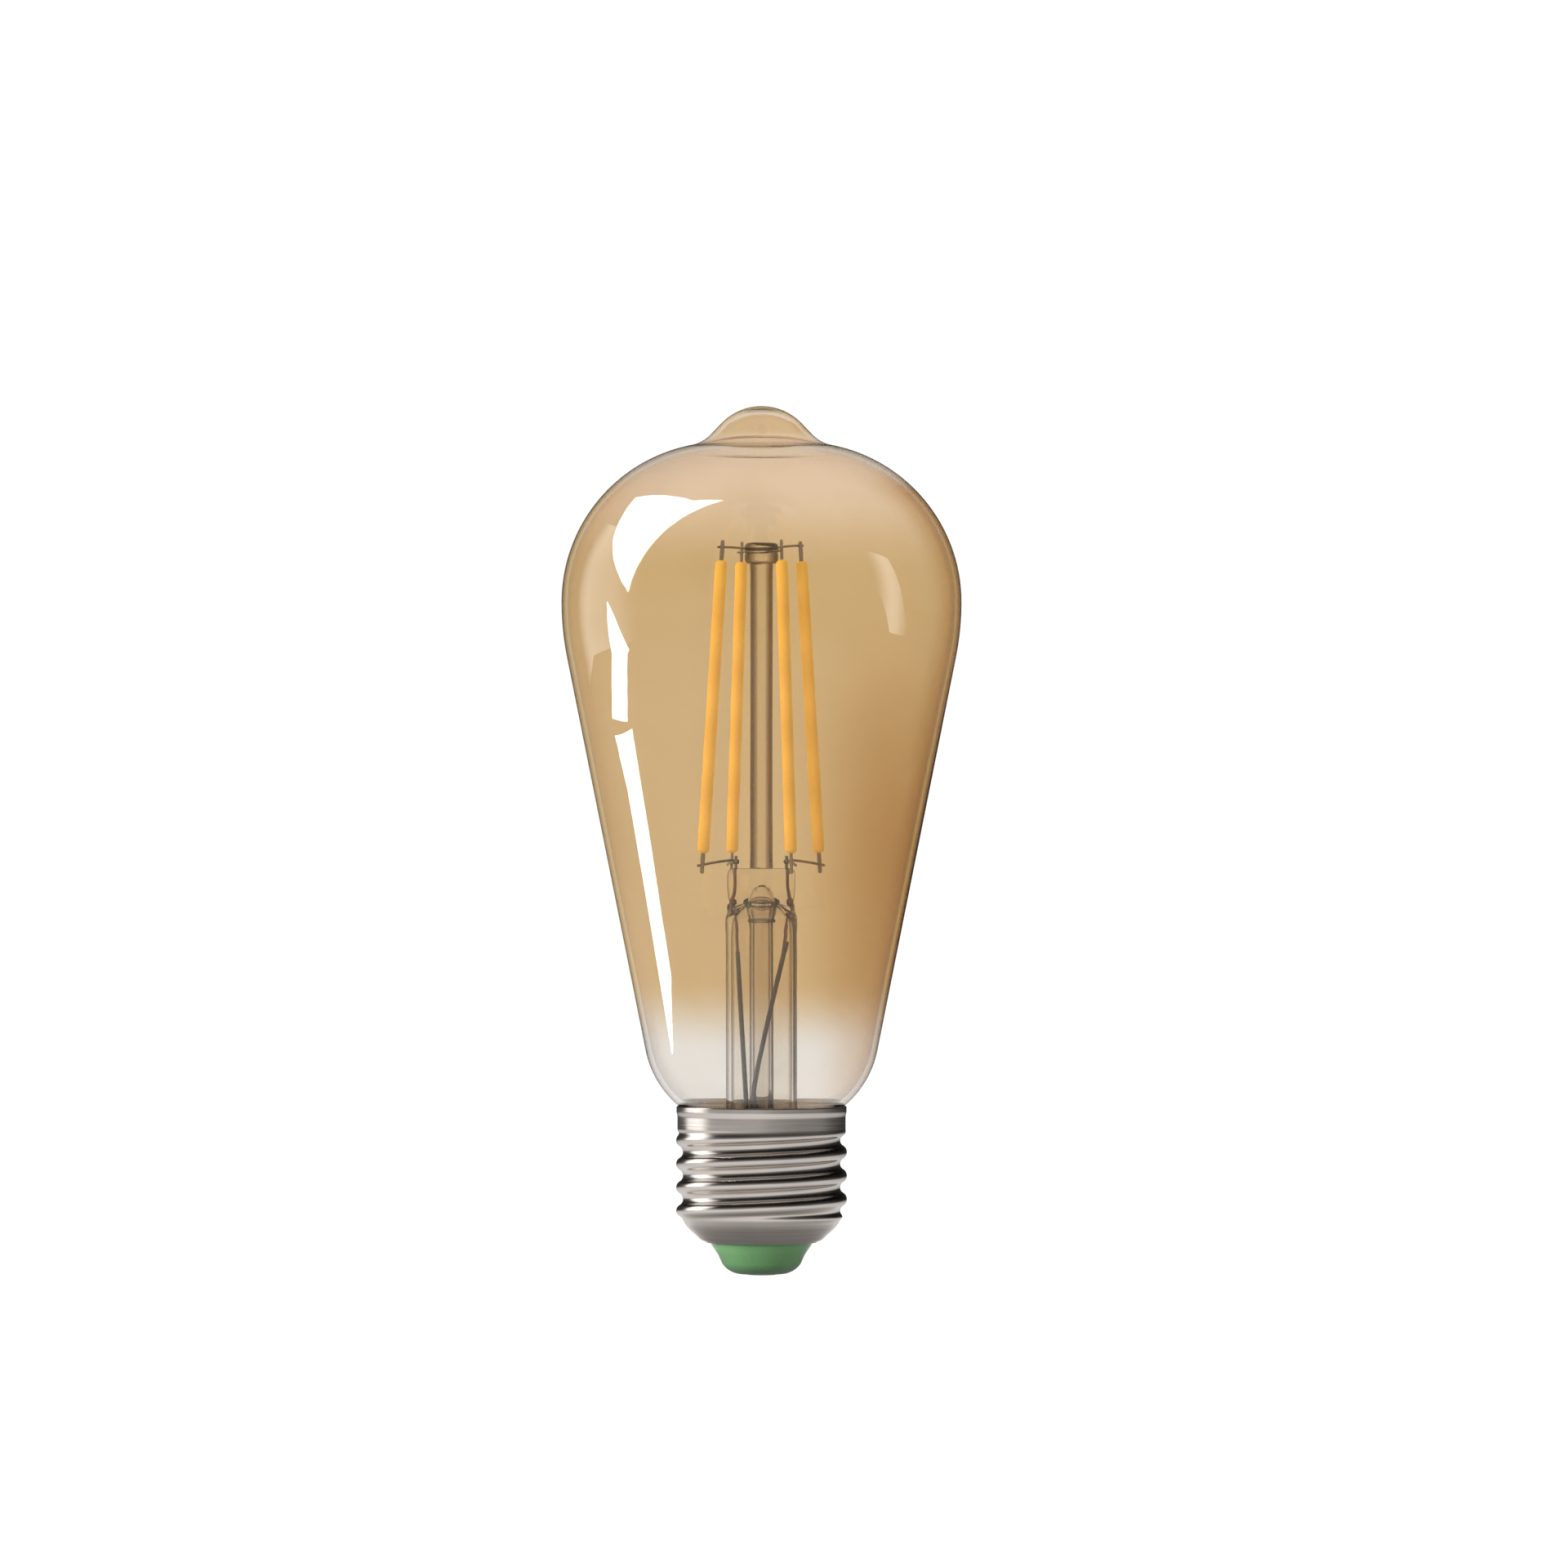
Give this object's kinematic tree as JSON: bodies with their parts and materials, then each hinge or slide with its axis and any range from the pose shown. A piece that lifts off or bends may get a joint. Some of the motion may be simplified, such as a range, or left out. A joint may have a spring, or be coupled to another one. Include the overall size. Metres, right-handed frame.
{
  "type": "smart light bulb",
  "caption": "Smart filament lamp: pear-shaped amber glass envelope with a drawn tip, LED filaments round a glass rod, and an E27 screw cap with a green insulator.",
  "frame": {"origin": "centre of the bottom contact's flat face, on the lamp's axis", "axes": "+Z along the lamp's axis from the cap's contact to the glass tip; -Y is the front, with the two lead wires left and right of the axis on X"},
  "size_m": [0.0616, 0.0616, 0.1338],
  "materials": {
    "amber_glass": "amber coated, polished",
    "clear_glass": "polished",
    "phosphor_coat": "smooth silicone with phosphor",
    "carrier_strip": "fine ground",
    "led_dies": "polished",
    "nickel_wire": "drawn",
    "tab_steel": "stamped",
    "copper_wire": "drawn",
    "sleeve_plastic": "soft satin",
    "nickel_shell": "nickel plated, rolled",
    "cap_cement": "cured, grainy",
    "green_insulator": "moulded",
    "contact_metal": "tinned",
    "board_green": "solder mask",
    "component_black": "moulded",
    "can_aluminium": "sleeved can",
    "shield_steel": "tinned",
    "ferrite": "sintered",
    "copper_winding": "enamelled wire",
    "resistor_green": "lacquered",
    "varistor_blue": "epoxy dipped",
    "sleeve_film": "heat shrunk film"
  },
  "bodies": {
    "root": {"arbor_bead": "clear_glass", "arbor_rod": "clear_glass", "bottom_wire_left": "nickel_wire", "bottom_wire_right": "nickel_wire", "bridge_rectifier": "component_black", "cap_cement": "cap_cement", "centre_contact": "contact_metal", "choke_core": "ferrite", "choke_winding": "copper_winding", "contact_wire": "copper_wire", "driver_board": "board_green", "driver_chip": "component_black", "driver_sleeve": "sleeve_film", "electrolytic_capacitor": "can_aluminium", "exhaust_tube": "clear_glass", "filament_1_coat": "phosphor_coat", "filament_1_dies": "led_dies", "filament_1_strip": "carrier_strip", "filament_1_tabs": "tab_steel", "filament_2_coat": "phosphor_coat", "filament_2_dies": "led_dies", "filament_2_strip": "carrier_strip", "filament_2_tabs": "tab_steel", "filament_3_coat": "phosphor_coat", "filament_3_dies": "led_dies", "filament_3_strip": "carrier_strip", "filament_3_tabs": "tab_steel", "filament_4_coat": "phosphor_coat", "filament_4_dies": "led_dies", "filament_4_strip": "carrier_strip", "filament_4_tabs": "tab_steel", "fusible_resistor": "resistor_green", "glass_bulb": "amber_glass", "inner_lead_left": "nickel_wire", "inner_lead_right": "nickel_wire", "insulator": "green_insulator", "lead_sleeve_left": "sleeve_plastic", "lead_sleeve_right": "sleeve_plastic", "outer_lead_left": "copper_wire", "outer_lead_right": "copper_wire", "radio_board": "board_green", "radio_shield": "shield_steel", "screw_shell": "nickel_shell", "seal_wire_left": "copper_wire", "seal_wire_right": "copper_wire", "shell_wire": "copper_wire", "small_chips": "component_black", "stem_glass": "clear_glass", "surge_varistor": "varistor_blue", "top_wire_inner": "nickel_wire", "top_wire_outer": "nickel_wire"}
  },
  "joints": []
}
